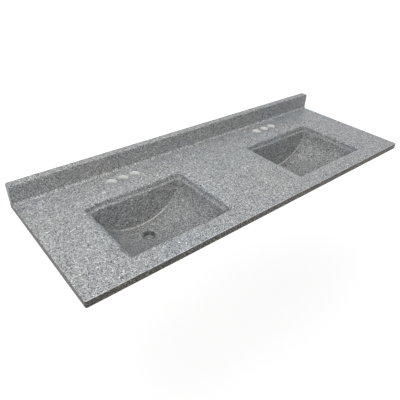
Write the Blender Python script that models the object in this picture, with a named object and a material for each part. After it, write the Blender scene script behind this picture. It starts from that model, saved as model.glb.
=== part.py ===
"""Double-bowl vanity top in solid surface with a granite-look face, and a coved backsplash.

A half-inch sheet is built up to an inch round its edges and round its two openings. A moulded
bowl is bonded under each opening, with an overflow channel bonded to the outside of its front
wall. The backsplash stands on the sheet, and a cove strip let into both of them rounds the corner.

Lengths are in metres. X runs along the wall, Y points at the wall and Z points up. The origin is
the plan centre of the top, on the plane where it sits on its cabinet.
"""
import math

import bmesh
import bpy

# The top as a whole, nominally 61 by 22 inches, with an inch-thick edge
top_width = 1.549
top_depth = 0.559
edge_thickness = 0.0254
front_corner_radius = 0.006
edge_ease = 0.0032
bottom_ease = 0.0015
bond_gap = 0.0003
cut_overrun = 0.004

# The sheet and the strips that build it up
sheet_thickness = 0.0127
front_strip_width = 0.038
end_strip_width = 0.032
back_strip_width = 0.034
centre_rail_width = 0.076

# The two openings, and the dished edge that leads down to each
opening_width = 0.407
deck_before_opening = 0.080
deck_behind_opening = 0.1745
opening_corner_radius = 0.010
dish_width = 0.037
dish_drop = 0.007
dish_corner_radius = 0.009
lip_radius = 0.010

# The frame bonded round each opening, rebated for the bowl's flange and drilled for the faucet
ring_width = 0.030
ring_behind_holes = 0.014
ring_corner_radius = 0.012
flange_seat_depth = 0.001
flange_seat_clearance = 0.0006

# The moulded bowl
ledge_width = 0.014
ledge_round = 0.004
flange_lap = 0.022
flange_thickness = 0.009
flange_corner_radius = 0.014
bowl_depth = 0.146
bowl_wall = 0.011
barrel_fullness_share = 0.52
end_wall_fillet = 0.010
front_wall_draft_share = 0.4
back_wall_draft_share = 0.02
floor_rise_to_front = 0.020
floor_rise_to_back = 0.0055
drain_to_back_wall = 0.067
drain_hole_diameter = 0.042
drain_seat_diameter = 0.054
drain_seat_recess = 0.0005
drain_boss_diameter = 0.084
drain_boss_height = 0.023

# The overflow, from the slot in the front wall to the port in the drain boss
overflow_slot_width = 0.032
overflow_slot_height = 0.009
overflow_slot_drop = 0.026
overflow_port_width = 0.024
overflow_port_height = 0.0075
overflow_port_cover = 0.0015
slot_end_share = 0.98
channel_width = 0.040
channel_clear_depth = 0.011
channel_wall = 0.003
channel_head = 0.009

# Faucet holes, three behind each bowl on four-inch centres
faucet_hole_diameter = 0.038
faucet_hole_pitch = 0.0508
faucet_line_to_wall = 0.0905

# The backsplash and its cove
splash_height = 0.0738
splash_thickness = 0.030
splash_corner_radius = 0.008
splash_ease = 0.0035
cove_radius = 0.0095
cove_let_in = 0.0025

# The shape of a bevel's section, half way between hollow and square: a quarter round
quarter_round_share = 0.5

# How finely the curves are divided
corner_steps = 5
ease_steps = 3
lip_steps = 4
barrel_steps = 34
fillet_steps = 4
floor_steps = 8
cove_steps = 8
hole_steps = 40

# Two coordinates closer than this are the same place
same_place = 0.00003

# Levels and lines that several pieces share
deck_top = edge_thickness
sheet_bottom = edge_thickness - sheet_thickness
build_up_top = sheet_bottom - bond_gap
front_edge = -top_depth / 2
back_edge = top_depth / 2
opening_depth = top_depth - deck_before_opening - deck_behind_opening
opening_centre_y = front_edge + deck_before_opening + opening_depth / 2
ledge_top = flange_seat_depth - bond_gap
splash_front = back_edge - splash_thickness
cove_half_length = top_width / 2 - edge_ease
faucet_line = back_edge - faucet_line_to_wall
ring_front = front_edge + deck_before_opening - ring_width
ring_back = faucet_line + faucet_hole_diameter / 2 + ring_behind_holes
bowl_places = {"left": -top_width / 4, "right": top_width / 4}

# The bowl's inside at the ledge, and its levels
basin_half_width = opening_width / 2 - ledge_width
basin_half_depth = opening_depth / 2 - ledge_width
basin_front = opening_centre_y - basin_half_depth
basin_back = opening_centre_y + basin_half_depth
drain_y = basin_back - drain_to_back_wall
shell_top = ledge_top - flange_thickness / 2
floor_level = ledge_top - bowl_depth
boss_bottom = floor_level - bowl_wall - drain_boss_height

# The slopes of the dish: gentle where it leaves the deck, steeper at the lip
dish_slope_shares = [0.6, 0.9, 1.5]


def empty_scene():
    """Removes every object, so the script can be run again."""
    for thing in list(bpy.data.objects):
        bpy.data.objects.remove(thing, do_unlink=True)


def named_collection(name):
    """Returns a collection of the scene, made if it isn't there."""
    group = bpy.data.collections.get(name)
    if group is None:
        group = bpy.data.collections.new(name)
        bpy.context.scene.collection.children.link(group)
    return group


empty_scene()
parts = named_collection("vanity_sink_top")
cutters = named_collection("cutters")


def stone(name, colour, roughness):
    """A plain finish in the stone's middle colour."""
    finish = bpy.data.materials.new(name)
    finish.use_nodes = True
    shader = finish.node_tree.nodes["Principled BSDF"]
    shader.inputs["Base Color"].default_value = (*colour, 1)
    shader.inputs["Roughness"].default_value = roughness
    shader.inputs["Metallic"].default_value = 0
    return finish


def place_mesh(name, form, group):
    """Turns a bmesh into an object of the given collection."""
    bmesh.ops.recalc_face_normals(form, faces=form.faces)
    mesh = bpy.data.meshes.new(name)
    form.to_mesh(mesh)
    form.free()
    thing = bpy.data.objects.new(name, mesh)
    group.objects.link(thing)
    return thing


def part(name, form, colour, roughness, smooth_degrees=35):
    """One piece of the top, with its own finish."""
    thing = place_mesh(name, form, parts)
    thing.data.materials.append(stone(name + "_stone", colour, roughness))
    thing.data.shade_smooth()
    thing.data.set_sharp_from_angle(angle=math.radians(smooth_degrees))
    return thing


def cutter(name, form):
    """A shape that only cuts or joins, kept out of the model."""
    thing = place_mesh(name, form, cutters)
    thing.hide_render = True
    thing.display_type = "WIRE"
    return thing


def combine(thing, tool, operation):
    """Cuts one shape with another, or joins it on."""
    step = thing.modifiers.new(operation.lower() + "_" + tool.name, "BOOLEAN")
    step.operation = operation
    step.solver = "EXACT"
    step.object = tool


def block(x_span, y_span, z_span):
    """A box between two corners."""
    (west, east), (south, north) = x_span, y_span
    return skin_rings([[(west, south, z), (east, south, z), (east, north, z), (west, north, z)]
                       for z in z_span])


def round_edges(form, chosen, radius, steps):
    """Rounds the edges whose two ends both pass the test."""
    edges = [edge for edge in form.edges if chosen(edge.verts[0].co, edge.verts[1].co)]
    bmesh.ops.bevel(form, geom=edges, offset=radius, segments=steps,
                    profile=quarter_round_share, affect="EDGES", clamp_overlap=True)


def same(first, second):
    """True where two coordinates are the same place."""
    return math.isclose(first, second, abs_tol=same_place)


def rounded_plate(half_x, half_y, centre, z_span, radius):
    """A plate whose four upright corners are rounded."""
    form = block((centre[0] - half_x, centre[0] + half_x),
                 (centre[1] - half_y, centre[1] + half_y), z_span)
    round_edges(form, lambda a, b: not same(a.z, b.z), radius, corner_steps)
    return form


def upright_cylinder(centre, radius, z_span):
    """A round bar standing on end."""
    form = bmesh.new()
    bmesh.ops.create_cone(form, cap_ends=True, segments=hole_steps, radius1=radius,
                          radius2=radius, depth=z_span[1] - z_span[0])
    middle = (z_span[0] + z_span[1]) / 2
    bmesh.ops.translate(form, vec=(centre[0], centre[1], middle), verts=form.verts)
    return form


def skin_rings(rings):
    """Skins a row of rings that have the same number of points, and closes both ends."""
    form = bmesh.new()
    rows = [[form.verts.new(point) for point in ring] for ring in rings]
    count = len(rows[0])
    for low, high in zip(rows, rows[1:]):
        for k in range(count):
            after = (k + 1) % count
            form.faces.new((low[k], low[after], high[after], high[k]))
    form.faces.new(rows[0][::-1])
    form.faces.new(rows[-1])
    return form


def rounded_ring(centre, half_x, half_y, radius, z):
    """The points of a rounded rectangle at one level."""
    points = []
    corners = ((1, 1, 0), (-1, 1, 90), (-1, -1, 180), (1, -1, 270))
    for sign_x, sign_y, start in corners:
        middle_x = centre[0] + sign_x * (half_x - radius)
        middle_y = centre[1] + sign_y * (half_y - radius)
        for step in range(corner_steps + 1):
            angle = math.radians(start + 90 * step / corner_steps)
            points.append((middle_x + radius * math.cos(angle),
                           middle_y + radius * math.sin(angle), z))
    return points


def dish_profile():
    """Offset from the opening and level, from above the deck down the dish and over the lip."""
    lip_top = deck_top - dish_drop
    weights = sum(dish_slope_shares)
    drops = [dish_drop * slope / weights for slope in dish_slope_shares]
    stride = dish_width / len(drops)

    points = [(dish_width + cut_overrun * stride / drops[0], deck_top + cut_overrun)]
    offset = dish_width
    level = deck_top
    points.append((offset, level))
    for drop in drops[:-1]:
        offset -= stride
        level -= drop
        points.append((offset, level))

    slope = math.atan2(drops[-1], stride)
    lip_centre = (lip_radius, lip_top - lip_radius * math.tan((math.pi / 2 - slope) / 2))
    for step in range(lip_steps + 1):
        angle = math.pi / 2 + slope + (math.pi / 2 - slope) * step / lip_steps
        points.append((lip_centre[0] + lip_radius * math.cos(angle),
                       lip_centre[1] + lip_radius * math.sin(angle)))
    return points


def opening_cutter(name, centre, profile, bottom):
    """The plug that cuts an opening, dished where the profile is."""
    rings = []
    for offset, level in profile + [(0, bottom)]:
        share = offset / dish_width
        radius = opening_corner_radius + (dish_corner_radius - opening_corner_radius) * share
        rings.append(rounded_ring(centre, opening_width / 2 + offset,
                                  opening_depth / 2 + offset, radius, level))
    return cutter(name, skin_rings(rings))


def ledge_round_cutter(name, centre):
    """The tray-shaped cutter that rounds the inner edge of the bowl's ledge."""
    profile = [(-ledge_round, -ledge_round * 2)]
    for step in range(lip_steps):
        angle = math.pi / 2 * step / lip_steps
        profile.append((ledge_round * (1 - math.cos(angle)),
                        ledge_round * (math.sin(angle) - 1)))
    offset, rise = profile[-1]
    profile.append((offset + ledge_round * math.tan(angle), rise + ledge_round))

    rings = []
    for offset, rise in profile:
        rings.append(rounded_ring(centre, basin_half_width + offset, basin_half_depth + offset,
                                  end_wall_fillet + offset, ledge_top + rise))
    return cutter(name, skin_rings(rings))


def basin_loft(centre_x, growth, top, ceiling, fillet):
    """The barrel shape of a bowl, grown outwards from its inside surface.

    Each ring is one upright slice across the bowl: two side walls and a floor that are one curve.
    The slices run from the front wall to the back wall, and shrink by the fillet at both.
    """
    half_width = basin_half_width + growth
    half_depth = basin_half_depth + growth
    depth = bowl_depth + growth - (ledge_top - top)

    rows = []
    for step in range(fillet_steps):
        angle = math.pi / 2 * step / fillet_steps
        rows.append((half_depth - fillet * (1 - math.cos(angle)),
                     fillet * (1 - math.sin(angle))))
    straight = half_depth - fillet
    rows += [(straight * (1 - step / floor_steps), 0) for step in range(floor_steps)]
    rows = [(-reach, inset) for reach, inset in rows] + [(0, 0)] + rows[::-1]

    rings = []
    for reach, inset in rows:
        slice_y = opening_centre_y + reach
        slice_depth = depth - inset - floor_rise(slice_y)
        side = half_width - inset
        outline = [(-side, top - ceiling)]
        for step in range(barrel_steps + 1):
            angle = math.pi * step / barrel_steps
            sink = slice_depth * math.sin(angle) ** (2 * barrel_fullness_share)
            outline.append((-side * math.cos(angle), sink))
        outline.append((side, top - ceiling))
        draft_share = front_wall_draft_share if reach < 0 else back_wall_draft_share
        lean = draft_share * reach / half_depth
        rings.append([(centre_x + across, slice_y - lean * sink, top - sink)
                      for across, sink in outline])
    return skin_rings(rings)


def floor_rise(y):
    """How far the floor line at this place lies above the drain."""
    if y < drain_y:
        share = min((drain_y - y) / (drain_y - basin_front), 1)
        return floor_rise_to_front * (1 - math.cos(math.pi * share)) / 2
    share = min((y - drain_y) / drain_to_back_wall, 1)
    return floor_rise_to_back * (1 - math.cos(math.pi * share)) / 2


def drill_faucet_holes(thing, side, centre_x, z_span):
    """Drills the three holes behind a bowl through a piece that fills the given levels."""
    for place in (-1, 0, 1):
        hole = upright_cylinder((centre_x + place * faucet_hole_pitch, faucet_line),
                                faucet_hole_diameter / 2,
                                (z_span[0] - cut_overrun, z_span[1] + cut_overrun))
        name = "drill_%s_%s_%d" % (thing.name, side, place + 2)
        combine(thing, cutter(name, hole), "DIFFERENCE")


def make_deck_sheet():
    """The sheet that everything is bonded to."""
    form = block((-top_width / 2, top_width / 2), (front_edge, back_edge),
                 (sheet_bottom, deck_top))
    round_edges(form, lambda a, b: same(a.y, front_edge) and same(b.y, front_edge)
                and not same(a.z, b.z), front_corner_radius, corner_steps + ease_steps)
    round_edges(form, lambda a, b: same(a.z, deck_top) and same(b.z, deck_top)
                and not (same(a.y, back_edge) and same(b.y, back_edge)),
                edge_ease, ease_steps)
    sheet = part("deck_sheet", form, (0.36, 0.37, 0.38), 0.38)
    for side, centre_x in bowl_places.items():
        plug = opening_cutter("cut_dish_" + side, (centre_x, opening_centre_y),
                              dish_profile(), sheet_bottom - cut_overrun)
        combine(sheet, plug, "DIFFERENCE")
        drill_faucet_holes(sheet, side, centre_x, (sheet_bottom, deck_top))
    groove = block((-cove_half_length - bond_gap, cove_half_length + bond_gap),
                   (splash_front - cove_radius - bond_gap,
                    splash_front + cove_let_in + bond_gap),
                   (deck_top - cove_let_in - bond_gap, deck_top + cut_overrun))
    combine(sheet, cutter("cut_cove_groove", groove), "DIFFERENCE")


def make_edge_strips():
    """The strips under the sheet's edges, flush with it outside, and the rail between the bowls."""
    colour = (0.33, 0.335, 0.34)
    z_span = (0, build_up_top)
    behind_front = front_edge + front_strip_width
    before_back = back_edge - back_strip_width

    form = block((-top_width / 2, top_width / 2), (front_edge, behind_front), z_span)
    round_edges(form, lambda a, b: same(a.y, front_edge) and same(b.y, front_edge)
                and not same(a.z, b.z), front_corner_radius, corner_steps + ease_steps)
    round_edges(form, lambda a, b: same(a.z, 0) and same(b.z, 0)
                and not (same(a.y, behind_front) and same(b.y, behind_front)),
                bottom_ease, ease_steps - 1)
    part("front_edge_strip", form, colour, 0.4)

    between = (behind_front + bond_gap, before_back - bond_gap)
    for side, sign in (("left", -1), ("right", 1)):
        outside = sign * top_width / 2
        inside = sign * (top_width / 2 - end_strip_width)
        form = block((min(outside, inside), max(outside, inside)), between, z_span)
        round_edges(form, lambda a, b: same(a.z, 0) and same(b.z, 0)
                    and same(a.x, outside) and same(b.x, outside),
                    bottom_ease, ease_steps - 1)
        part(side + "_edge_strip", form, colour, 0.4)

    form = block((-top_width / 2, top_width / 2), (before_back, back_edge), z_span)
    part("back_edge_strip", form, colour, 0.45)

    form = block((-centre_rail_width / 2, centre_rail_width / 2), between, z_span)
    part("centre_rail", form, colour, 0.45)


def make_rim_ring(side, centre_x):
    """The frame that makes the deck an inch thick round an opening, and seats the bowl.

    Its back rail is broad enough to carry the faucet holes too, so no daylight shows in them.
    """
    centre = (centre_x, opening_centre_y)
    form = rounded_plate(opening_width / 2 + ring_width, (ring_back - ring_front) / 2,
                         (centre_x, (ring_back + ring_front) / 2), (0, build_up_top),
                         ring_corner_radius)
    ring = part("rim_ring_" + side, form, (0.33, 0.335, 0.34), 0.42)
    plug = opening_cutter("cut_ring_" + side, centre, dish_profile(), -cut_overrun)
    combine(ring, plug, "DIFFERENCE")
    seat = rounded_plate(opening_width / 2 + flange_lap + flange_seat_clearance,
                         opening_depth / 2 + flange_lap + flange_seat_clearance,
                         centre, (-cut_overrun, flange_seat_depth),
                         flange_corner_radius + flange_seat_clearance)
    combine(ring, cutter("cut_flange_seat_" + side, seat), "DIFFERENCE")
    drill_faucet_holes(ring, side, centre_x, (0, build_up_top))


def obround(centre, width, height, y_span):
    """A bar along Y whose section is a slot with round ends."""
    form = block((centre[0] - width / 2, centre[0] + width / 2), y_span,
                 (centre[1] - height / 2, centre[1] + height / 2))
    round_edges(form, lambda a, b: not same(a.y, b.y), height / 2 * slot_end_share,
                corner_steps)
    return form


def make_bowl(side, centre_x):
    """A moulded bowl: flange, barrel-shaped shell, drain boss and overflow."""
    shell = basin_loft(centre_x, bowl_wall, shell_top, shell_top + flange_thickness / 4,
                       end_wall_fillet + bowl_wall)
    bowl = part("bowl_" + side, shell, (0.30, 0.31, 0.32), 0.35)

    centre = (centre_x, opening_centre_y)
    flange = rounded_plate(opening_width / 2 + flange_lap, opening_depth / 2 + flange_lap,
                           centre, (ledge_top - flange_thickness, ledge_top),
                           flange_corner_radius)
    combine(bowl, cutter("join_flange_" + side, flange), "UNION")

    drain = (centre_x, drain_y)
    boss = upright_cylinder(drain, drain_boss_diameter / 2, (boss_bottom, floor_level))
    combine(bowl, cutter("join_boss_" + side, boss), "UNION")

    inside = basin_loft(centre_x, 0, ledge_top, ledge_top + cut_overrun, end_wall_fillet)
    combine(bowl, cutter("cut_basin_" + side, inside), "DIFFERENCE")
    combine(bowl, ledge_round_cutter("cut_ledge_round_" + side, centre), "DIFFERENCE")

    seat_level = floor_level - drain_seat_recess
    seat = upright_cylinder(drain, drain_seat_diameter / 2,
                            (seat_level, floor_level + bowl_wall))
    combine(bowl, cutter("cut_drain_seat_" + side, seat), "DIFFERENCE")
    hole = upright_cylinder(drain, drain_hole_diameter / 2,
                            (boss_bottom - cut_overrun, floor_level + cut_overrun))
    combine(bowl, cutter("cut_drain_hole_" + side, hole), "DIFFERENCE")

    slot_foot = overflow_slot_drop + overflow_slot_height / 2
    slot = obround((centre_x, ledge_top - overflow_slot_drop), overflow_slot_width,
                   overflow_slot_height,
                   (basin_front - bowl_wall - cut_overrun,
                    basin_front + front_wall_draft_share * slot_foot + cut_overrun))
    combine(bowl, cutter("cut_overflow_slot_" + side, slot), "DIFFERENCE")

    port_middle = (floor_level - bowl_wall - overflow_port_cover
                   - overflow_port_height / 2)
    port = obround((centre_x, port_middle), overflow_port_width, overflow_port_height,
                   (drain_y - drain_boss_diameter / 2 - cut_overrun, drain_y))
    combine(bowl, cutter("cut_overflow_port_" + side, port), "DIFFERENCE")


def make_overflow_channel(side, centre_x):
    """The moulded trough that hugs the bowl from the overflow slot to the drain boss."""
    clear = bowl_wall + channel_clear_depth
    outside = clear + channel_wall
    form = basin_loft(centre_x, outside, shell_top, ledge_top, end_wall_fillet + outside)
    channel = part("overflow_channel_" + side, form, (0.58, 0.56, 0.52), 0.45)

    slot_top = ledge_top - overflow_slot_drop + overflow_slot_height / 2
    head = slot_top + channel_head
    foot = drain_y - drain_boss_diameter / 2 * math.cos(math.radians(45))
    keep = block((centre_x - channel_width / 2 - channel_wall,
                  centre_x + channel_width / 2 + channel_wall),
                 (opening_centre_y - top_depth / 2, foot), (boss_bottom - outside, head))
    combine(channel, cutter("keep_channel_" + side, keep), "INTERSECT")

    way = basin_loft(centre_x, clear, shell_top, ledge_top, end_wall_fillet + clear)
    trough = cutter("cut_channel_way_" + side, way)
    way_keep = block((centre_x - channel_width / 2, centre_x + channel_width / 2),
                     (opening_centre_y - top_depth / 2, drain_y),
                     (boss_bottom - outside, head - channel_wall))
    combine(trough, cutter("keep_channel_way_" + side, way_keep), "INTERSECT")
    combine(channel, trough, "DIFFERENCE")

    shell = basin_loft(centre_x, bowl_wall + bond_gap, shell_top, ledge_top,
                       end_wall_fillet + bowl_wall + bond_gap)
    combine(channel, cutter("cut_shell_" + side, shell), "DIFFERENCE")
    boss = upright_cylinder((centre_x, drain_y), drain_boss_diameter / 2 + bond_gap,
                            (boss_bottom - cut_overrun, floor_level))
    combine(channel, cutter("cut_boss_" + side, boss), "DIFFERENCE")


def make_backsplash():
    """The upstand along the wall, rebated at its foot for the cove strip."""
    bottom = deck_top + bond_gap
    top = deck_top + splash_height
    form = block((-top_width / 2, top_width / 2), (splash_front, back_edge), (bottom, top))
    round_edges(form, lambda a, b: same(a.z, top) and same(b.z, top) and not same(a.y, b.y),
                splash_corner_radius, corner_steps)
    round_edges(form, lambda a, b: same(a.y, splash_front) and same(b.y, splash_front)
                and not (same(a.z, bottom) and same(b.z, bottom)), splash_ease, ease_steps)
    splash = part("backsplash", form, (0.36, 0.37, 0.38), 0.38)
    rebate = block((-cove_half_length - bond_gap, cove_half_length + bond_gap),
                   (splash_front - cut_overrun, splash_front + cove_let_in + bond_gap),
                   (bottom - cut_overrun, deck_top + cove_radius + bond_gap))
    combine(splash, cutter("cut_cove_rebate", rebate), "DIFFERENCE")


def make_cove_strip():
    """The fillet at the foot of the backsplash, an outline drawn along the wall."""
    lead = splash_front - cove_radius
    back = splash_front + cove_let_in
    crown = deck_top + cove_radius
    outline = [(back, deck_top - cove_let_in), (back, crown)]
    for step in range(cove_steps + 1):
        angle = -math.pi / 2 * step / cove_steps
        outline.append((lead + cove_radius * math.cos(angle),
                        crown + cove_radius * math.sin(angle)))
    outline.append((lead, deck_top - cove_let_in))

    curve = bpy.data.curves.new("cove_strip", "CURVE")
    curve.dimensions = "2D"
    curve.fill_mode = "BOTH"
    curve.extrude = cove_half_length
    spline = curve.splines.new("POLY")
    spline.points.add(len(outline) - 1)
    for point, (y, z) in zip(spline.points, outline):
        point.co = (y, z, 0, 1)
    spline.use_cyclic_u = True
    strip = bpy.data.objects.new("cove_strip", curve)
    strip.rotation_euler = (math.pi / 2, 0, math.pi / 2)
    strip.data.materials.append(stone("cove_strip_stone", (0.42, 0.43, 0.44), 0.34))
    parts.objects.link(strip)


make_deck_sheet()
make_edge_strips()
for bowl_side, bowl_x in bowl_places.items():
    make_rim_ring(bowl_side, bowl_x)
    make_bowl(bowl_side, bowl_x)
    make_overflow_channel(bowl_side, bowl_x)
make_backsplash()
make_cove_strip()
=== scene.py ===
"""Double-bowl vanity top in grey granite-look resin.

Lengths are in metres. X runs along the wall, Y points at the wall and Z points up. The origin is
the plan centre of the top, on the plane where it sits on its cabinet.
"""
import math

import bmesh
import bpy
from mathutils import Matrix, Vector
from mathutils.noise import noise as scatter


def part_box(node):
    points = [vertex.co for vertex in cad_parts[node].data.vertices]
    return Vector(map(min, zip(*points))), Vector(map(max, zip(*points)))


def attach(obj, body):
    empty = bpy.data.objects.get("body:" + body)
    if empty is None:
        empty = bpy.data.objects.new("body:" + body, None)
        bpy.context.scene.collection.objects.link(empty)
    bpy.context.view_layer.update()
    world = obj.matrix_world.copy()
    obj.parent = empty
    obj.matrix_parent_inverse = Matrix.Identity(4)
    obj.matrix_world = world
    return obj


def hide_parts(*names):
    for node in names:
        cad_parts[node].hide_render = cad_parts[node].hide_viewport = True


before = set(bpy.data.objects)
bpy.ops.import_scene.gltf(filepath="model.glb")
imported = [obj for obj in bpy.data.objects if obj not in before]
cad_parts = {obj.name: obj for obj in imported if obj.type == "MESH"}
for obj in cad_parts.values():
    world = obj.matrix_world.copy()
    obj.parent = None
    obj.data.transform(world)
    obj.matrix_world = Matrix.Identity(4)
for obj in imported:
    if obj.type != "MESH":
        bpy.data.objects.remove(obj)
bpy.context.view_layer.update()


# Deck sheet
# A half-inch sheet of pale filled resin with a granite-look face. Each bowl opening is routed with
# a shallow dish and a rolled lip, and the faucet holes are drilled, so the pale body shows in
# their walls. The edges are sanded but not polished, and are painted darker and browner than the
# top as painted shade; the eased front edge carries a painted highlight.
deck_low, deck_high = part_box("deck_sheet")
deck_top = deck_high.z
sheet_bottom = deck_low.z
front_edge = deck_low.y
back_edge = deck_high.y
half_length = deck_high.x
corner_radius = 0.006
edge_ease = 0.0032
corner_steps = 10
ease_steps = 6
arc_profile = 0.5
same_place = 0.00003
overrun = 0.004

bowl_places = {"left": -half_length / 2, "right": half_length / 2}
opening_half_x = 0.2035
opening_front = front_edge + 0.080
opening_back = back_edge - 0.1745
opening_y = (opening_front + opening_back) / 2
opening_half_y = (opening_back - opening_front) / 2
opening_radius = 0.010
dish_width = 0.037
dish_drop = 0.007
dish_radius = 0.009
dish_start_share = 0.55
dish_steps = 12
lip_radius = 0.010
lip_steps = 10

faucet_line = back_edge - 0.0905
faucet_radius = 0.019
faucet_pitch = 0.0508
drill_break = 0.0009
hole_steps = 72

splash_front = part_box("backsplash")[0].y
cove_radius = 0.0095
cove_let_in = 0.0025
cove_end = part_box("cove_strip")[1].x
hairline = 0.0003
sharp_degrees = 32
flat_face_weight = 90
# How strongly the eased front edge is painted lighter, as a painted highlight
ease_highlight_level = 0.4

# The least share of a face's normal along an axis with which it faces squarely that way
squarely = 0.9

# Chips of the face: the size of their cells, the share of cells that hold one, and its least
# reach in the cell, which grows by chance up to the spread
chip_layers = [
    ("flakes", 0.0056, 0.42, 0.24),
    ("grains", 0.0033, 0.62, 0.28),
    ("sand", 0.0017, 0.80, 0.30),
]
chip_colours = [
    (0.00, (0.010, 0.012, 0.020)),
    (0.22, (0.040, 0.046, 0.064)),
    (0.36, (0.210, 0.220, 0.236)),
    (0.58, (0.420, 0.436, 0.450)),
    (0.72, (0.700, 0.710, 0.710)),
    (0.86, (0.950, 0.950, 0.930)),
]
chip_spread = 0.4
chip_bend = 0.0018
bend_scale = 380
binder_cool = (0.350, 0.370, 0.384)
binder_warm = (0.376, 0.372, 0.356)
drift_scale = 3.1
cloud_scale = 60
cloud_shade = 0.6
cloud_base = 0.7
smudge_scale = 14
satin_spread = 0.16
satin_scale = 850
satin_depth = 0.00004
# Colour of the painted highlight on the eased front edge and on the bowls' fillets
highlight_colour = (0.990, 0.945, 0.920)

# The body under the face: its mottling, its pin-holes and the marks of the saw
sawn_colour = (0.620, 0.600, 0.550)
drilled_colour = (0.970, 0.965, 0.955)
mottle_scale = 34
mottle_shade = 0.36
pit_scale = 620
pit_shade = 0.30
body_shade = 0.66
body_depth = 0.00012
kerf_scale = 90


def join(tree, source, target):
    """Feeds one node's output to another node's input."""
    tree.links.new(source, target)


def figure(tree, operation, *values):
    """A Math node fed by sockets or numbers."""
    node = tree.nodes.new("ShaderNodeMath")
    node.operation = operation
    for socket, value in zip(node.inputs, values):
        if isinstance(value, (int, float)):
            socket.default_value = value
        else:
            join(tree, value, socket)
    return node.outputs[0]


def blend_colours(tree, share, first, second):
    """A colour Mix node between two colours, each a socket or a plain colour."""
    node = tree.nodes.new("ShaderNodeMix")
    node.data_type = "RGBA"
    join(tree, share, node.inputs[0])
    for socket, value in ((node.inputs[6], first), (node.inputs[7], second)):
        if isinstance(value, tuple):
            socket.default_value = (*value, 1)
        else:
            join(tree, value, socket)
    return node.outputs[2]


def scaled(tree, colour, factor):
    """A colour made lighter or darker by a factor."""
    node = tree.nodes.new("ShaderNodeVectorMath")
    node.operation = "SCALE"
    join(tree, colour, node.inputs[0])
    join(tree, factor, node.inputs["Scale"])
    return node.outputs[0]


def noise(tree, where, scale, detail):
    """A Noise node of the given scale."""
    node = tree.nodes.new("ShaderNodeTexNoise")
    node.inputs["Scale"].default_value = scale
    node.inputs["Detail"].default_value = detail
    join(tree, where, node.inputs["Vector"])
    return node


def ramp(tree, value, stops, interpolation="LINEAR"):
    """A colour ramp through the given stops."""
    node = tree.nodes.new("ShaderNodeValToRGB")
    band = node.color_ramp
    band.interpolation = interpolation
    for element, (place, colour) in zip(band.elements, stops):
        element.position = place
        element.color = (*colour, 1)
    for place, colour in stops[2:]:
        band.elements.new(place).color = (*colour, 1)
    join(tree, value, node.inputs[0])
    return node.outputs[0]


def start_finish(name):
    """An empty finish, with its shader and the place on the object that it is painted by."""
    finish = bpy.data.materials.new(name)
    finish.use_nodes = True
    tree = finish.node_tree
    where = tree.nodes.new("ShaderNodeTexCoord").outputs["Object"]
    return finish, tree, tree.nodes["Principled BSDF"], where


def raise_surface(tree, shader, height, depth, strength):
    """Bumps the surface by a height pattern."""
    bump = tree.nodes.new("ShaderNodeBump")
    bump.inputs["Strength"].default_value = strength
    bump.inputs["Distance"].default_value = depth
    join(tree, height, bump.inputs["Height"])
    join(tree, bump.outputs[0], shader.inputs["Normal"])


def granite_face(name, tone=(1.0, 1.0, 1.0), roughness=0.34, contrast=1.0):
    """Chips of six greys in a grey binder, sanded to a satin, lighter where a painted highlight is
    marked.

    A higher contrast sinks the darker greys; on the edge faces it deepens their painted shade.
    """
    finish, tree, shader, where = start_finish(name)
    drift = noise(tree, where, drift_scale, 2.0).outputs[0]
    cloud = noise(tree, where, cloud_scale, 3.0).outputs[0]
    binder = ramp(tree, drift, [(0.40, binder_cool), (0.60, binder_warm)])
    shade = figure(tree, "MULTIPLY_ADD", cloud, cloud_shade, cloud_base)
    colour = scaled(tree, binder, shade)

    wobble = noise(tree, where, bend_scale, 1.0)
    bent = tree.nodes.new("ShaderNodeVectorMath")
    bent.operation = "MULTIPLY_ADD"
    bent.inputs[1].default_value = (chip_bend, chip_bend, chip_bend)
    join(tree, wobble.outputs["Color"], bent.inputs[0])
    join(tree, where, bent.inputs[2])

    for layer, size, held, least_reach in chip_layers:
        cells = tree.nodes.new("ShaderNodeTexVoronoi")
        cells.label = layer
        cells.inputs["Scale"].default_value = 1 / size
        join(tree, bent.outputs[0], cells.inputs["Vector"])
        lots = tree.nodes.new("ShaderNodeSeparateColor")
        join(tree, cells.outputs["Color"], lots.inputs[0])
        present = figure(tree, "LESS_THAN", lots.outputs["Green"], held)
        reach = figure(tree, "MULTIPLY_ADD", lots.outputs["Blue"], chip_spread, least_reach)
        inside = figure(tree, "LESS_THAN", cells.outputs["Distance"], reach)
        chip = ramp(tree, lots.outputs["Red"], chip_colours, "CONSTANT")
        colour = blend_colours(tree, figure(tree, "MULTIPLY", present, inside), colour, chip)

    # Painted highlight: lighter where the attribute marks it
    marks = tree.nodes.new("ShaderNodeAttribute")
    marks.attribute_name = "painted_highlight"
    colour = blend_colours(tree, marks.outputs["Fac"], colour, highlight_colour)
    deepen = tree.nodes.new("ShaderNodeGamma")
    deepen.inputs["Gamma"].default_value = contrast
    join(tree, colour, deepen.inputs["Color"])
    tint = tree.nodes.new("ShaderNodeVectorMath")
    tint.operation = "MULTIPLY"
    tint.inputs[1].default_value = tone
    join(tree, deepen.outputs[0], tint.inputs[0])
    join(tree, tint.outputs[0], shader.inputs["Base Color"])

    smudge = noise(tree, where, smudge_scale, 3.0).outputs[0]
    join(tree, figure(tree, "MULTIPLY_ADD", smudge, satin_spread, roughness - satin_spread / 2),
         shader.inputs["Roughness"])
    grain = noise(tree, where, satin_scale, 2.0).outputs[0]
    raise_surface(tree, shader, grain, satin_depth, 0.5)
    return finish


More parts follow.
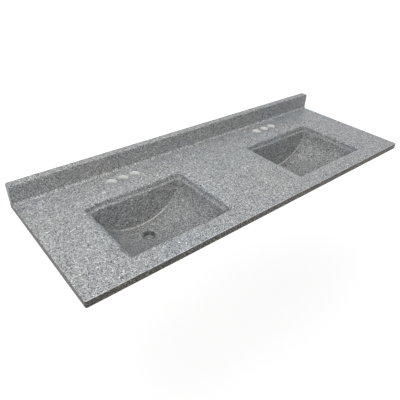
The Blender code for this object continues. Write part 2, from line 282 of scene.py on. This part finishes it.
def pale_body(name, colour, roughness, saw_marks):
    """The bare filled resin: mottled, with pin-holes, and with saw marks where it was cut."""
    finish, tree, shader, where = start_finish(name)
    mottle = noise(tree, where, mottle_scale, 5.0).outputs[0]
    pits = noise(tree, where, pit_scale, 2.0).outputs[0]
    dust = figure(tree, "MULTIPLY_ADD", pits, pit_shade, body_shade)
    shade = figure(tree, "MULTIPLY_ADD", mottle, mottle_shade, dust)
    base = tree.nodes.new("ShaderNodeRGB")
    base.outputs[0].default_value = (*colour, 1)
    join(tree, scaled(tree, base.outputs[0], shade), shader.inputs["Base Color"])
    join(tree, figure(tree, "MULTIPLY_ADD", mottle, 0.2, roughness - 0.1),
         shader.inputs["Roughness"])
    height = pits
    if saw_marks:
        kerf = tree.nodes.new("ShaderNodeTexWave")
        kerf.inputs["Scale"].default_value = kerf_scale
        kerf.inputs["Distortion"].default_value = 4.0
        kerf.inputs["Detail"].default_value = 2.0
        join(tree, where, kerf.inputs["Vector"])
        height = figure(tree, "ADD", pits, kerf.outputs["Fac"])
    raise_surface(tree, shader, height, body_depth, 0.6)
    return finish


def add_piece(name, form, finish):
    """A new object of the given form and finish."""
    bmesh.ops.recalc_face_normals(form, faces=form.faces)
    mesh = bpy.data.meshes.new(name)
    form.to_mesh(mesh)
    form.free()
    mesh.materials.append(finish)
    piece = bpy.data.objects.new(name, mesh)
    bpy.context.scene.collection.objects.link(piece)
    return piece


def shape(piece, form, finish, operation="DIFFERENCE"):
    """Cuts a form out of a piece, or joins it on. The new faces take the given finish."""
    tool = add_piece("tool", form, finish)
    step = piece.modifiers.new("cut", "BOOLEAN")
    step.operation = operation
    step.solver = "EXACT"
    step.material_mode = "TRANSFER"
    step.object = tool
    shaped = piece.evaluated_get(bpy.context.evaluated_depsgraph_get())
    mesh = bpy.data.meshes.new_from_object(shaped)
    piece.modifiers.clear()
    former = piece.data
    piece.data = mesh
    mesh.name = piece.name
    bpy.data.meshes.remove(former)
    bpy.data.meshes.remove(tool.data)


def refinish(piece, finish, chosen):
    """Gives another finish to the faces that pass the test."""
    finishes = piece.data.materials
    if finish.name not in finishes:
        finishes.append(finish)
    for face in piece.data.polygons:
        if chosen(face.center, face.normal):
            face.material_index = finishes.find(finish.name)


def paint_highlight(piece, amount):
    """Marks where the piece takes a painted highlight and how strongly, from the point's place and
    its normal.
    """
    marks = piece.data.attributes.new("painted_highlight", "FLOAT", "POINT")
    for mark, vertex in zip(marks.data, piece.data.vertices):
        mark.value = amount(vertex.co, vertex.normal)


def smooth(piece, degrees=sharp_degrees):
    """Smooth shading that keeps flat faces flat and real arrises sharp."""
    piece.data.shade_smooth()
    piece.data.set_sharp_from_angle(angle=math.radians(degrees))
    weigh = piece.modifiers.new("flat faces stay flat", "WEIGHTED_NORMAL")
    weigh.keep_sharp = True
    weigh.weight = flat_face_weight


def stands_for(piece, node):
    """The piece moves with the top and is shown in place of the plain solid of that name."""
    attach(piece, "root")
    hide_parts(node)


def skin(rings):
    """Skins a row of rings that have the same number of points, and closes both ends."""
    form = bmesh.new()
    rows = [[form.verts.new(point) for point in ring] for ring in rings]
    count = len(rows[0])
    for low, high in zip(rows, rows[1:]):
        for k in range(count):
            after = (k + 1) % count
            form.faces.new((low[k], low[after], high[after], high[k]))
    form.faces.new(rows[0][::-1])
    form.faces.new(rows[-1])
    return form


def block(x_span, y_span, z_span):
    """A box between two corners."""
    (west, east), (south, north) = x_span, y_span
    return skin([[(west, south, z), (east, south, z), (east, north, z), (west, north, z)]
                 for z in z_span])


def same(first, second):
    """True where two coordinates are the same place."""
    return math.isclose(first, second, abs_tol=same_place)


def round_over(form, chosen, radius, steps):
    """Rounds the edges whose two ends both pass the test."""
    edges = [edge for edge in form.edges if chosen(edge.verts[0].co, edge.verts[1].co)]
    bmesh.ops.bevel(form, geom=edges, offset=radius, segments=steps, profile=arc_profile,
                    affect="EDGES", clamp_overlap=True)


def round_front_corners(form, front):
    """Rounds the two upright edges at the front."""
    round_over(form, lambda a, b: same(a.y, front) and same(b.y, front) and not same(a.z, b.z),
               corner_radius, corner_steps)


def rounded_ring(centre, half_x, half_y, radius, z, steps=corner_steps):
    """The points of a rounded rectangle at one level."""
    points = []
    for sign_x, sign_y, start in ((1, 1, 0), (-1, 1, 90), (-1, -1, 180), (1, -1, 270)):
        middle_x = centre[0] + sign_x * (half_x - radius)
        middle_y = centre[1] + sign_y * (half_y - radius)
        for step in range(steps + 1):
            angle = math.radians(start + 90 * step / steps)
            points.append((middle_x + radius * math.cos(angle),
                           middle_y + radius * math.sin(angle), z))
    return points


def dish_profile():
    """Offset from the opening and level, down the dish and over the lip."""
    grow = dish_start_share * dish_drop / dish_width
    points = [(dish_width + overrun / grow, deck_top + overrun)]
    for step in range(dish_steps + 1):
        share = step / dish_steps
        sink = dish_start_share * share + (1 - dish_start_share) * share ** 3
        offset = dish_width * (1 - share)
        if offset > lip_radius:
            points.append((offset, deck_top - dish_drop * sink))
    slope = math.atan((3 - 2 * dish_start_share) * dish_drop / dish_width)
    lip_top = deck_top - dish_drop
    lip_level = lip_top - lip_radius * math.tan((math.pi / 2 - slope) / 2)
    for step in range(lip_steps + 1):
        angle = math.pi / 2 + slope + (math.pi / 2 - slope) * step / lip_steps
        points.append((lip_radius * (1 + math.cos(angle)),
                       lip_level + lip_radius * math.sin(angle)))
    return points


def opening_form(centre_x, bottom):
    """The plug that cuts a dished opening."""
    rings = []
    for offset, level in dish_profile() + [(0, bottom)]:
        share = min(offset / dish_width, 1)
        radius = opening_radius + (dish_radius - opening_radius) * share
        rings.append(rounded_ring((centre_x, opening_y), opening_half_x + offset,
                                  opening_half_y + offset, radius, level))
    return skin(rings)


def turned(centre, profile):
    """A form turned on an upright axis, from its radius and level down the profile."""
    rings = []
    for radius, level in profile:
        rings.append([(centre[0] + radius * math.cos(math.tau * k / hole_steps),
                       centre[1] + radius * math.sin(math.tau * k / hole_steps), level)
                      for k in range(hole_steps)])
    return skin(rings)


def faucet_hole(centre_x, place, high, low, broken):
    """A drill through a piece, with the arris broken where it enters the face."""
    centre = (centre_x + place * faucet_pitch, faucet_line)
    profile = [(faucet_radius, high + overrun), (faucet_radius, low - overrun)]
    if broken:
        profile = [(faucet_radius + drill_break + overrun, high + overrun),
                   (faucet_radius + drill_break, high), (faucet_radius, high - drill_break),
                   (faucet_radius, low - overrun)]
    return turned(centre, profile)


deck_face = granite_face("deck_granite_face", tone=(0.975, 0.985, 0.995))
# The front edge faces are painted darker and browner than the deck, and the end faces far darker,
# as painted shade.
shaded_edge_face = granite_face("edge_granite_face", tone=(0.60, 0.54, 0.49), roughness=0.45,
                         contrast=2.8)
shaded_end_face = granite_face("end_granite_face", tone=(0.21, 0.19, 0.175), roughness=0.45,
                        contrast=1.7)
sawn_body = pale_body("sawn_pale_body", sawn_colour, 0.62, True)
drilled_body = pale_body("drilled_pale_body", drilled_colour, 0.55, False)


def painted_ease_highlight(place, normal):
    """A painted highlight along the eased front edge, and nothing behind it."""
    on_ease = place.z < deck_top - hairline and place.y < front_edge + edge_ease
    return ease_highlight_level if on_ease and normal.z > 0.3 else 0


form = block((-half_length, half_length), (front_edge, back_edge), (sheet_bottom, deck_top))
round_front_corners(form, front_edge)
round_over(form, lambda a, b: same(a.z, deck_top) and same(b.z, deck_top)
           and not (same(a.y, back_edge) and same(b.y, back_edge)), edge_ease, ease_steps)
deck = add_piece("deck", form, deck_face)
for centre_x in bowl_places.values():
    shape(deck, opening_form(centre_x, sheet_bottom - overrun), deck_face)
    for place in (-1, 0, 1):
        shape(deck, faucet_hole(centre_x, place, deck_top, sheet_bottom, True), drilled_body)
shape(deck, block((-cove_end - hairline, cove_end + hairline),
                  (splash_front - cove_radius - hairline, splash_front + cove_let_in + hairline),
                  (deck_top - cove_let_in - hairline, deck_top + overrun)), sawn_body)
refinish(deck, sawn_body, lambda centre, normal: normal.z < -squarely
         or normal.y > squarely and centre.y > back_edge - hairline)
# The deck's front and end edges take the painted shade.
refinish(deck, shaded_edge_face, lambda centre, normal: abs(normal.z) < 0.5
         and centre.y < front_edge + corner_radius)
refinish(deck, shaded_end_face, lambda centre, normal: abs(normal.z) < 0.5
         and abs(centre.x) > half_length - edge_ease and centre.y > front_edge + corner_radius)
# A painted highlight lightens the eased front edge.
paint_highlight(deck, painted_ease_highlight)
smooth(deck)
stands_for(deck, "deck_sheet")


# Edge strips and centre rail
# Strips of the same sheet, sawn to width and bonded under its edges. The front and end strips and
# the back strip's ends are sanded flush and sprayed with the deck, and their faces are painted
# darker than the deck as painted shade. What doesn't show, and the rail between the bowls, keeps
# the saw's marks.
strip_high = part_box("front_edge_strip")[1]
build_up_top = strip_high.z
bottom_ease = 0.0015
bottom_steps = 4
saw_break = 0.0009
saw_break_steps = 2
behind_front = strip_high.y
before_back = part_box("back_edge_strip")[0].y
between = (behind_front + hairline, before_back - hairline)
under_sheet = (0, build_up_top)


def hidden_below(centre, normal):
    """True on the faces of a build-up strip that the deck and its cabinet hide."""
    outside = abs(centre.x) > half_length - bottom_ease or centre.y < front_edge + corner_radius
    return not outside or normal.z < -squarely


form = block((-half_length, half_length), (front_edge, behind_front), under_sheet)
round_front_corners(form, front_edge)
round_over(form, lambda a, b: same(a.z, 0) and same(b.z, 0)
           and not (same(a.y, behind_front) and same(b.y, behind_front)),
           bottom_ease, bottom_steps)
front_strip = add_piece("front_strip", form, shaded_edge_face)
refinish(front_strip, sawn_body, hidden_below)
smooth(front_strip)
stands_for(front_strip, "front_edge_strip")

for side, sign in (("left", -1), ("right", 1)):
    low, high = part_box(side + "_edge_strip")
    form = block((low.x, high.x), between, under_sheet)
    outside = sign * half_length
    round_over(form, lambda a, b: same(a.z, 0) and same(b.z, 0)
               and same(a.x, outside) and same(b.x, outside), bottom_ease, bottom_steps)
    strip = add_piece(side + "_strip", form, shaded_end_face)
    refinish(strip, sawn_body, hidden_below)
    smooth(strip)
    stands_for(strip, side + "_edge_strip")

for name, node in (("back_strip", "back_edge_strip"), ("sawn_rail", "centre_rail")):
    low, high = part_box(node)
    form = block((low.x, high.x), (low.y, high.y), (low.z, high.z))
    round_over(form, lambda a, b: same(a.z, 0) and same(b.z, 0), saw_break, saw_break_steps)
    strip = add_piece(name, form, sawn_body)
    # The strip's ends take the painted shade of the end faces.
    refinish(strip, shaded_end_face, lambda centre, normal: abs(normal.x) > squarely
             and abs(centre.x) > half_length - bottom_ease)
    smooth(strip)
    stands_for(strip, node)


# Rim rings
# A frame of greyer sheet is bonded round each opening, so the step down to the bowl is an inch
# deep. Its opening is routed flush with the deck's and sprayed with it. Its broad back rail is
# drilled together with the deck, and its underside is rebated for the bowl's flange.
ring_low, ring_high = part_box("rim_ring_left")
ring_half_x = (ring_high.x - ring_low.x) / 2
ring_half_y = (ring_high.y - ring_low.y) / 2
ring_y = (ring_high.y + ring_low.y) / 2
ring_radius = 0.012
flange_low, flange_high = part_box("bowl_left")
flange_half_x = (flange_high.x - flange_low.x) / 2
flange_lap = flange_half_x - opening_half_x
flange_radius = 0.014
seat_depth = 0.001
seat_clearance = 0.0006
reamed_colour = (0.620, 0.650, 0.635)


def placed(pattern, name, centre_x, degrees=sharp_degrees):
    """A copy of a pattern that was made on the middle line, moved to one bowl's place."""
    mesh = pattern.data.copy()
    mesh.transform(Matrix.Translation((centre_x, 0, 0)))
    piece = bpy.data.objects.new(name, mesh)
    bpy.context.scene.collection.objects.link(piece)
    smooth(piece, degrees)
    return piece


def plate(half_x, half_y, centre_y, z_span, radius):
    """A plate on the middle line with rounded corners."""
    return skin([rounded_ring((0, centre_y), half_x, half_y, radius, z) for z in z_span])


reamed_body = pale_body("reamed_grey_body", reamed_colour, 0.55, False)
pattern = add_piece("ring_pattern", plate(ring_half_x, ring_half_y, ring_y, under_sheet,
                                          ring_radius), sawn_body)
shape(pattern, opening_form(0, -overrun), deck_face)
shape(pattern, plate(opening_half_x + flange_lap + seat_clearance,
                     opening_half_y + flange_lap + seat_clearance, opening_y,
                     (-overrun, seat_depth), flange_radius + seat_clearance), sawn_body)
for place in (-1, 0, 1):
    shape(pattern, faucet_hole(0, place, build_up_top, 0, False), reamed_body)
for side, centre_x in bowl_places.items():
    stands_for(placed(pattern, "build_up_ring_" + side, centre_x), "rim_ring_" + side)
bpy.data.objects.remove(pattern)


# Bowls
# Each bowl is cast in a mould of the same resin. The mould gives the barrel its granite-look face,
# and the back of the casting, with its flange and drain boss, is the bare pale body. The drain is
# bored through afterwards. A painted highlight pales the hollows low in the bowl, where the front
# and back walls meet the floor.
ledge_top = flange_high.z
boss_bottom = flange_low.z
ledge_width = 0.014
ledge_round = 0.004
flange_thickness = 0.009
basin_half_x = opening_half_x - ledge_width
basin_half_y = opening_half_y - ledge_width
basin_front = opening_y - basin_half_y
basin_back = opening_y + basin_half_y
bowl_depth = 0.146
bowl_wall = 0.011
barrel_fullness = 0.52
end_fillet = 0.010
front_draft = 0.4
back_draft = 0.02
rise_to_front = 0.020
rise_to_back = 0.0055
drain_run = 0.067
drain_y = basin_back - drain_run
drain_radius = 0.021
drain_seat_radius = 0.027
drain_seat_recess = 0.0005
drain_break = 0.0007
faced_depth = 0.016
boss_radius = 0.042
floor_level = ledge_top - bowl_depth
shell_top = ledge_top - flange_thickness / 2
barrel_steps = 88
fillet_steps = 8
floor_steps = 22

slot_width = 0.032
slot_height = 0.009
slot_drop = 0.026
port_width = 0.024
port_height = 0.0075
port_cover = 0.0015
cast_colour = (0.70, 0.68, 0.62)

# The painted highlight on the fillets: how the hollow faces where it is palest, how far it fades,
# its patches, and the share of the bowl's depth where it starts and over which it grows
highlight_facing = 0.68
highlight_spread = 0.19
highlight_patch_scale = 230
highlight_level = 0.9
highlight_contrast = 1.8
highlight_starts = 0.55
highlight_grows_over = 0.35


def floor_rise(y):
    """How far the floor line at this place lies above the drain."""
    if y < drain_y:
        share = min((drain_y - y) / (drain_y - basin_front), 1)
        return rise_to_front * (1 - math.cos(math.pi * share)) / 2
    share = min((y - drain_y) / drain_run, 1)
    return rise_to_back * (1 - math.cos(math.pi * share)) / 2


def barrel(growth, top, ceiling, fillet):
    """The bowl's barrel, grown outwards from its inside, as upright slices from front to back."""
    half_width = basin_half_x + growth
    half_depth = basin_half_y + growth
    depth = bowl_depth + growth - (ledge_top - top)
    rows = []
    for step in range(fillet_steps):
        angle = math.pi / 2 * step / fillet_steps
        rows.append((half_depth - fillet * (1 - math.cos(angle)), fillet * (1 - math.sin(angle))))
    straight = half_depth - fillet
    rows += [(straight * (1 - step / floor_steps), 0) for step in range(floor_steps)]
    rows = [(-reach, inset) for reach, inset in rows] + [(0, 0)] + rows[::-1]

    rings = []
    for reach, inset in rows:
        y = opening_y + reach
        slice_depth = depth - inset - floor_rise(y)
        side = half_width - inset
        lean = (front_draft if reach < 0 else back_draft) * reach / half_depth
        outline = [(-side, top - ceiling)]
        for step in range(barrel_steps + 1):
            angle = math.pi * step / barrel_steps
            outline.append((-side * math.cos(angle),
                            slice_depth * math.sin(angle) ** (2 * barrel_fullness)))
        outline.append((side, top - ceiling))
        rings.append([(across, y - lean * sink, top - sink) for across, sink in outline])
    return skin(rings)


def ledge_round_form():
    """The tray that rounds the inner edge of the ledge."""
    profile = [(-ledge_round, -ledge_round * 2)]
    for step in range(lip_steps):
        angle = math.pi / 2 * step / lip_steps
        profile.append((ledge_round * (1 - math.cos(angle)), ledge_round * (math.sin(angle) - 1)))
    offset, rise = profile[-1]
    profile.append((offset + ledge_round * math.tan(angle), rise + ledge_round))
    return skin([rounded_ring((0, opening_y), basin_half_x + offset, basin_half_y + offset,
                              end_fillet + offset, ledge_top + rise)
                 for offset, rise in profile])


def slot_form(middle_z, width, height, y_span):
    """A bar along Y on the middle line, whose section is a slot with round ends."""
    radius = height / 2
    rings = []
    for y in y_span:
        ring = []
        for sign, start in ((1, -90), (-1, 90)):
            for step in range(corner_steps + 1):
                angle = math.radians(start + 180 * step / corner_steps)
                ring.append((sign * (width / 2 - radius) + radius * math.cos(angle), y,
                             middle_z + radius * math.sin(angle)))
        rings.append(ring)
    return skin(rings)


bowl_face = granite_face("bowl_granite_face", tone=(0.83, 0.83, 0.83))
# The granite face wraps the top of the drain bore, and there it is painted far darker than the
# bowl, as painted shade.
bore_face = granite_face("bore_granite_face", tone=(0.34, 0.37, 0.36))
cast_body = pale_body("cast_pale_body", cast_colour, 0.5, False)

pattern = add_piece("bowl_pattern", barrel(bowl_wall, shell_top, flange_thickness / 4 + shell_top,
                                           end_fillet + bowl_wall), cast_body)
shape(pattern, plate(flange_half_x, opening_half_y + flange_lap, opening_y,
                     (ledge_top - flange_thickness, ledge_top), flange_radius), cast_body, "UNION")
shape(pattern, turned((0, drain_y), [(boss_radius, floor_level),
                                     (boss_radius, boss_bottom + drill_break),
                                     (boss_radius - drill_break, boss_bottom)]),
      cast_body, "UNION")
shape(pattern, barrel(0, ledge_top, ledge_top + overrun, end_fillet), bowl_face)
shape(pattern, ledge_round_form(), bowl_face)
seat_level = floor_level - drain_seat_recess
shape(pattern, turned((0, drain_y), [(drain_seat_radius + bowl_wall, floor_level + bowl_wall),
                                     (drain_seat_radius, seat_level)]), bowl_face)
shape(pattern, turned((0, drain_y), [(drain_radius + drain_break + overrun, seat_level + overrun),
                                     (drain_radius + drain_break, seat_level),
                                     (drain_radius, seat_level - drain_break),
                                     (drain_radius, seat_level - faced_depth),
                                     (drain_radius, boss_bottom - overrun)]), reamed_body)
slot_foot = slot_drop + slot_height / 2
shape(pattern, slot_form(ledge_top - slot_drop, slot_width, slot_height,
                         (basin_front - bowl_wall - overrun,
                          basin_front + front_draft * slot_foot + overrun)), bowl_face)
port_middle = floor_level - bowl_wall - port_cover - port_height / 2
shape(pattern, slot_form(port_middle, port_width, port_height,
                         (drain_y - boss_radius - overrun, drain_y)), cast_body)
refinish(pattern, bowl_face, lambda centre, normal: centre.z > ledge_top - ledge_round
         and normal.z > squarely)
# The top of the drain bore takes the painted shade.
refinish(pattern, bore_face, lambda centre, normal: centre.z > seat_level - faced_depth
         and math.hypot(centre.x, centre.y - drain_y) < drain_radius + drain_break / 2)


def painted_fillet_highlight(place, normal):
    """Painted highlight in patches on the hollow where the front and back walls meet the floor, low
    in the bowl.
    """
    hollow = max(0, 1 - abs(abs(normal.y) - highlight_facing) / highlight_spread)
    patchy = min(max(highlight_level + highlight_contrast * scatter(place * highlight_patch_scale), 0), 1)
    depth_share = (ledge_top - place.z) / bowl_depth
    return hollow * patchy * min(max((depth_share - highlight_starts) / highlight_grows_over, 0), 1)


# A painted highlight pales the fillets low in the bowl.
paint_highlight(pattern, painted_fillet_highlight)
for side, centre_x in bowl_places.items():
    stands_for(placed(pattern, "cast_bowl_" + side, centre_x), "bowl_" + side)
bpy.data.objects.remove(pattern)


# Overflow channels
# A moulded trough of the same pale resin is bonded over each overflow slot. It hugs the front
# wall down to the drain boss, where it opens into the boss's port.
channel_half_width = 0.020
channel_clear = 0.011
channel_wall = 0.003
channel_over_slot = 0.009
channel_head = ledge_top - slot_drop + slot_height / 2 + channel_over_slot
foot_angle = math.radians(45)
channel_foot = drain_y - boss_radius * math.cos(foot_angle)
channel_bottom = boss_bottom - 2 * bowl_wall
channel_front = opening_y - deck_high.y
way_growth = bowl_wall + channel_clear
skin_growth = way_growth + channel_wall


def kept(growth, half_width, y_end, top):
    """A grown barrel, cut down to a strip on the middle line."""
    trough = add_piece("trough", barrel(growth, shell_top, ledge_top, end_fillet + growth),
                       cast_body)
    shape(trough, block((-half_width, half_width), (channel_front, y_end),
                        (channel_bottom, top)), cast_body, "INTERSECT")
    return trough


def as_form(piece):
    """A piece's mesh as a form, and the piece is gone."""
    form = bmesh.new()
    form.from_mesh(piece.data)
    bpy.data.meshes.remove(piece.data)
    return form


pattern = kept(skin_growth, channel_half_width + channel_wall, channel_foot, channel_head)
pattern.name = "channel_pattern"
shape(pattern, as_form(kept(way_growth, channel_half_width, drain_y,
                            channel_head - channel_wall)), cast_body)
shape(pattern, barrel(bowl_wall + hairline, shell_top, ledge_top, end_fillet + bowl_wall),
      cast_body)
shape(pattern, turned((0, drain_y), [(boss_radius + hairline, floor_level),
                                     (boss_radius + hairline, boss_bottom - overrun)]), cast_body)
for side, centre_x in bowl_places.items():
    stands_for(placed(pattern, "overflow_trough_" + side, centre_x), "overflow_channel_" + side)
bpy.data.objects.remove(pattern)


# Backsplash
# An upstand of thicker sheet, bonded on the deck's back edge. Its front and top are sprayed with
# the deck, and its back, which stands against the wall, is left sawn.
splash_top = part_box("backsplash")[1].z
splash_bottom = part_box("backsplash")[0].z
splash_radius = 0.008
splash_ease = 0.0035

form = block((-half_length, half_length), (splash_front, back_edge), (splash_bottom, splash_top))
round_over(form, lambda a, b: same(a.z, splash_top) and same(b.z, splash_top)
           and not same(a.y, b.y), splash_radius, corner_steps)
round_over(form, lambda a, b: same(a.y, splash_front) and same(b.y, splash_front)
           and not (same(a.z, splash_bottom) and same(b.z, splash_bottom)),
           splash_ease, ease_steps)
# The splash's face is the deck's finish painted a little darker, as painted shade.
splash = add_piece("splash", form, granite_face("splash_granite_face", tone=(0.88, 0.88, 0.88),
                                             roughness=0.38))
shape(splash, block((-cove_end - hairline, cove_end + hairline),
                    (splash_front - overrun, splash_front + cove_let_in + hairline),
                    (splash_bottom - overrun, deck_top + cove_radius + hairline)), sawn_body)
refinish(splash, sawn_body,
         lambda centre, normal: normal.y > squarely or normal.z < -squarely)
smooth(splash)
stands_for(splash, "backsplash")


# Cove strip
# A fillet let into the deck and the backsplash, ground to a hollow quarter round by a wheel that
# polishes it a little. Its face is also painted lighter than the deck, a painted highlight, so it
# shows as a pale line along the wall.
outline = [(splash_front + cove_let_in, deck_top - cove_let_in),
           (splash_front + cove_let_in, deck_top + cove_radius)]
cove_lead = splash_front - cove_radius
cove_steps = 20
for step in range(cove_steps + 1):
    angle = -math.pi / 2 * step / cove_steps
    outline.append((cove_lead + cove_radius * math.cos(angle),
                    deck_top + cove_radius + cove_radius * math.sin(angle)))
outline.append((cove_lead, deck_top - cove_let_in))
# The cove's face is painted a shade lighter than the deck, as a painted highlight.
cove = add_piece("cove", skin([[(x, y, z) for y, z in outline] for x in (-cove_end, cove_end)]),
                 granite_face("cove_granite_face", tone=(1.1, 1.1, 1.1), roughness=0.28))
smooth(cove)
stands_for(cove, "cove_strip")


# Adhesive
# Colour-matched adhesive fills the bond between the deck and what is under it, and is cleaned off
# flush. Round each bowl it makes a small fillet on the ledge, and below, a bead against the flange.
bond_face = granite_face("colour_matched_bond", tone=(0.8, 0.8, 0.8), roughness=0.45)
bead_colour = (0.42, 0.42, 0.40)
bead_resin = pale_body("bead_resin", bead_colour, 0.4, False)
film_set_back = 0.0001
fillet_size = 0.0014
bead_size = 0.0055
bead_steps = 4
seam_degrees = 60


def bonded(piece):
    """An adhesive seam moves with the top."""
    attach(piece, "root")


def fillet_ring(half_x, half_y, radius, level, size, rise, outward):
    """A bead of quarter-round section that follows a rounded rectangle, in the given corner."""
    form = bmesh.new()
    rows = []
    for step in range(bead_steps + 1):
        angle = math.pi / 2 * step / bead_steps
        away = size * (1 - math.sin(angle)) * outward
        up = size * (1 - math.cos(angle)) * rise
        rows.append(rounded_ring((0, opening_y), half_x + away, half_y + away,
                                 radius + away, level + up))
    rows.append(rounded_ring((0, opening_y), half_x, half_y, radius, level))
    loops = [[form.verts.new(point) for point in row] for row in rows]
    count = len(rows[0])
    for low, high in zip(loops, loops[1:] + loops[:1]):
        for k in range(count):
            after = (k + 1) % count
            form.faces.new((low[k], low[after], high[after], high[k]))
    return form


form = block((-half_length + film_set_back, half_length - film_set_back),
             (front_edge + film_set_back, back_edge - film_set_back), (build_up_top, sheet_bottom))
round_front_corners(form, front_edge + film_set_back)
film = add_piece("edge_bond", form, bond_face)
end_strip_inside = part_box("right_edge_strip")[0].x
shape(film, block((-end_strip_inside, end_strip_inside), (behind_front, before_back),
                  (build_up_top - overrun, deck_top)), bond_face)
smooth(film, seam_degrees)
bonded(film)

patterns = {
    "ring_bond_": plate(ring_half_x - film_set_back, ring_half_y - film_set_back, ring_y,
                        (build_up_top, sheet_bottom), ring_radius),
    "step_bead_": fillet_ring(opening_half_x, opening_half_y, opening_radius, ledge_top,
                              fillet_size, 1, -1),
    "flange_bead_": fillet_ring(opening_half_x + flange_lap, opening_half_y + flange_lap,
                                flange_radius, 0, bead_size, -1, 1),
}
for name, form in patterns.items():
    pattern = add_piece(name, form, bead_resin if name == "flange_bead_" else bond_face)
    if name == "ring_bond_":
        shape(pattern, plate(opening_half_x + film_set_back, opening_half_y + film_set_back,
                             opening_y, (build_up_top - overrun, deck_top),
                             opening_radius + film_set_back), bond_face)
        for place in (-1, 0, 1):
            shape(pattern, faucet_hole(0, place, deck_top, 0, False), bond_face)
    for side, centre_x in bowl_places.items():
        bonded(placed(pattern, name + side, centre_x, seam_degrees))
    bpy.data.objects.remove(pattern)


# Floor, light and camera
# The top lies above a white studio floor, as high as its cabinet would hold it. A broad softbox
# hangs over it on the left and a smaller one stands at the front left. The white room fills in
# from all round, and the floor throws a little brown light up at the edges.
floor_drop = 0.86
floor_half_size = 14.0
floor_glow = (0.80, 1.0)
floor_glow_radius = (0.4, 2.6)
floor_bounce = (0.10, 0.07, 0.05)
floor_shown = (0.35, 0.35, 0.35)
room_level = 0.345

floor_mesh = bpy.data.meshes.new("studio_floor")
floor_corners = [(x * floor_half_size, y * floor_half_size, 0)
                 for x, y in ((-1, -1), (1, -1), (1, 1), (-1, 1))]
floor_mesh.from_pydata(floor_corners, [], [(0, 1, 2, 3)])
studio_floor = bpy.data.objects.new("studio_floor", floor_mesh)
studio_floor.location.z = -floor_drop
bpy.context.scene.collection.objects.link(studio_floor)

floor_paint = bpy.data.materials.new("white_floor")
floor_paint.use_nodes = True
tree = floor_paint.node_tree
tree.nodes.clear()


def seen_directly(tree):
    """1 where the camera or a shiny surface sees it, 0 where it only lights the object."""
    rays = tree.nodes.new("ShaderNodeLightPath")
    return figure(tree, "MAXIMUM", rays.outputs["Is Camera Ray"], rays.outputs["Is Glossy Ray"])


seen = seen_directly(tree)
place_on_floor = tree.nodes.new("ShaderNodeTexCoord").outputs["Object"]
far = tree.nodes.new("ShaderNodeVectorMath")
far.operation = "LENGTH"
join(tree, place_on_floor, far.inputs[0])
glow_level = tree.nodes.new("ShaderNodeMapRange")
glow_level.interpolation_type = "SMOOTHSTEP"
glow_level.inputs["From Min"].default_value = floor_glow_radius[0]
glow_level.inputs["From Max"].default_value = floor_glow_radius[1]
glow_level.inputs["To Min"].default_value = floor_glow[0]
glow_level.inputs["To Max"].default_value = floor_glow[1]
join(tree, far.outputs["Value"], glow_level.inputs["Value"])
matte = tree.nodes.new("ShaderNodeBsdfDiffuse")
join(tree, blend_colours(tree, seen, floor_bounce, floor_shown), matte.inputs["Color"])
glow = tree.nodes.new("ShaderNodeEmission")
join(tree, figure(tree, "MULTIPLY", seen, glow_level.outputs[0]), glow.inputs["Strength"])
both = tree.nodes.new("ShaderNodeAddShader")
join(tree, matte.outputs[0], both.inputs[0])
join(tree, glow.outputs[0], both.inputs[1])
join(tree, both.outputs[0], tree.nodes.new("ShaderNodeOutputMaterial").inputs[0])
floor_mesh.materials.append(floor_paint)

room = bpy.data.worlds.new("white_room")
bpy.context.scene.world = room
room.use_nodes = True
tree = room.node_tree
around = tree.nodes["Background"]
around.inputs["Color"].default_value = (1, 1, 1, 1)
join(tree, figure(tree, "MULTIPLY_ADD", seen_directly(tree), 1 - room_level, room_level),
     around.inputs["Strength"])


def softbox(name, place, aim, size, power):
    """A square area lamp pointed at the given place."""
    lamp = bpy.data.lights.new(name, "AREA")
    lamp.shape = "SQUARE"
    lamp.size = size
    lamp.energy = power
    thing = bpy.data.objects.new(name, lamp)
    bpy.context.scene.collection.objects.link(thing)
    thing.location = place
    thing.rotation_euler = (Vector(aim) - Vector(place)).to_track_quat("-Z", "Y").to_euler()


softbox("overhead_softbox", place=(-1.1, 0.3, 2.6), aim=(-0.2, 0, 0), size=1.8, power=38.5)
softbox("front_softbox", place=(-1.6, -2.4, 1.75), aim=(-0.1, 0, 0), size=1.0, power=38)

camera_data = bpy.data.cameras.new("photo_camera")
camera_data.sensor_width = 36
camera_data.lens = 36.342
photo_camera = bpy.data.objects.new("photo_camera", camera_data)
bpy.context.scene.collection.objects.link(photo_camera)
photo_camera.location = (-1.01441, -0.98637, 0.82383)
photo_camera.rotation_euler = [math.radians(turn) for turn in (55.733, -1.9954, -39.4648)]
bpy.context.scene.camera = photo_camera
bpy.context.scene.view_settings.view_transform = "Standard"
